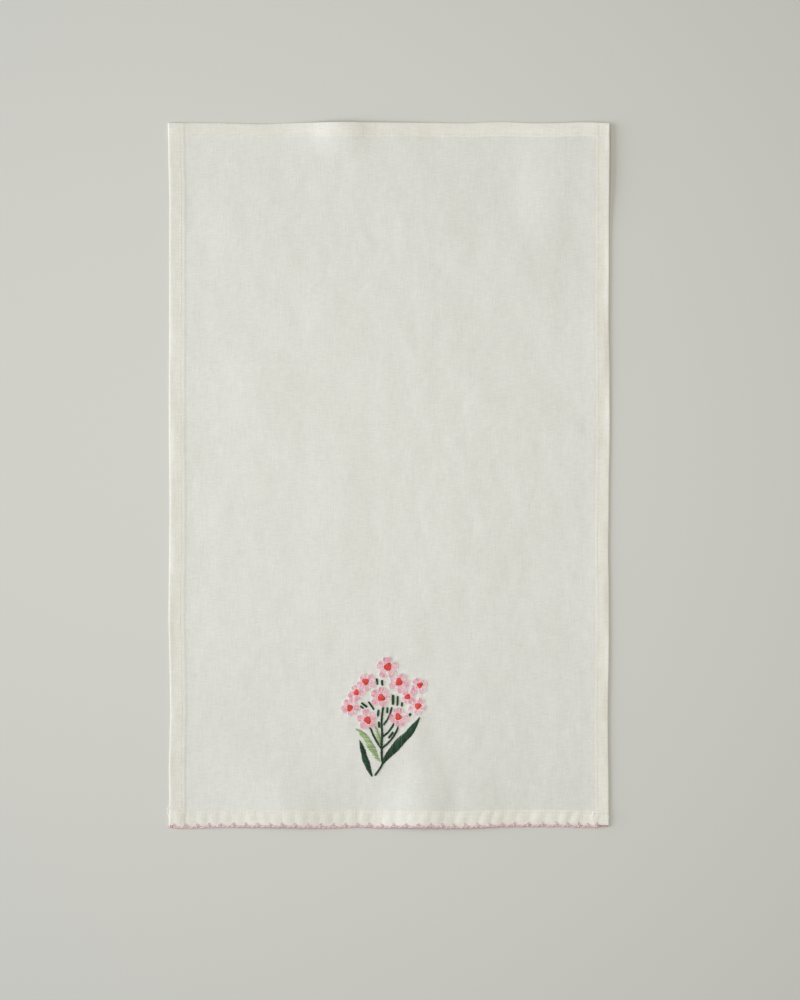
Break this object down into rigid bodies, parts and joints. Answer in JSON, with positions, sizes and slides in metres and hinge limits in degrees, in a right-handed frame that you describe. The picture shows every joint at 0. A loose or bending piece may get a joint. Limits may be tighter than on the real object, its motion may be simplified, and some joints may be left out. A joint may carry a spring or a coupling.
{
  "type": "tea towel",
  "caption": "Flat hemmed tea towel with a blanket-stitched yarn edge along one end and an embroidered flower sprig above it.",
  "frame": {"origin": "middle of the laid-out towel, on the surface that its underside rests on", "axes": "+Z out of the face of the cloth, +Y towards the plain top hem, +X towards the right-hand hem"},
  "size_m": [0.447, 0.715, 0.0075],
  "materials": {
    "cloth": "fine plain weave, off-white, slightly sheer, matt",
    "edge_yarn": "soft twisted yarn, pink, matt",
    "petal_thread": "satin-stitched thread, pink, soft sheen",
    "heart_thread": "satin-stitched thread, red, soft sheen",
    "dark_green_thread": "satin-stitched thread, dark green, soft sheen",
    "light_green_thread": "satin-stitched thread, light green, soft sheen"
  },
  "bodies": {
    "root": {"towel_cloth": "cloth", "edge_yarn": "edge_yarn", "flower_01": "petal_thread", "heart_01": "heart_thread", "flower_02": "petal_thread", "heart_02": "heart_thread", "flower_03": "petal_thread", "heart_03": "heart_thread", "flower_04": "petal_thread", "heart_04": "heart_thread", "flower_05": "petal_thread", "heart_05": "heart_thread", "flower_06": "petal_thread", "heart_06": "heart_thread", "flower_07": "petal_thread", "heart_07": "heart_thread", "flower_08": "petal_thread", "heart_08": "heart_thread", "flower_09": "petal_thread", "heart_09": "heart_thread", "flower_10": "petal_thread", "heart_10": "heart_thread", "flower_11": "petal_thread", "heart_11": "heart_thread", "stems_and_leaf": "dark_green_thread", "dark_leaf": "dark_green_thread", "dash_01": "dark_green_thread", "dash_02": "dark_green_thread", "dash_03": "dark_green_thread", "dash_04": "dark_green_thread", "dash_05": "dark_green_thread", "dash_06": "dark_green_thread", "dash_07": "dark_green_thread", "dash_08": "dark_green_thread", "dash_09": "dark_green_thread", "dash_10": "dark_green_thread", "dash_11": "dark_green_thread", "dash_12": "dark_green_thread", "dash_13": "dark_green_thread", "light_leaf_01": "light_green_thread", "light_leaf_02": "light_green_thread"}
  },
  "joints": []
}
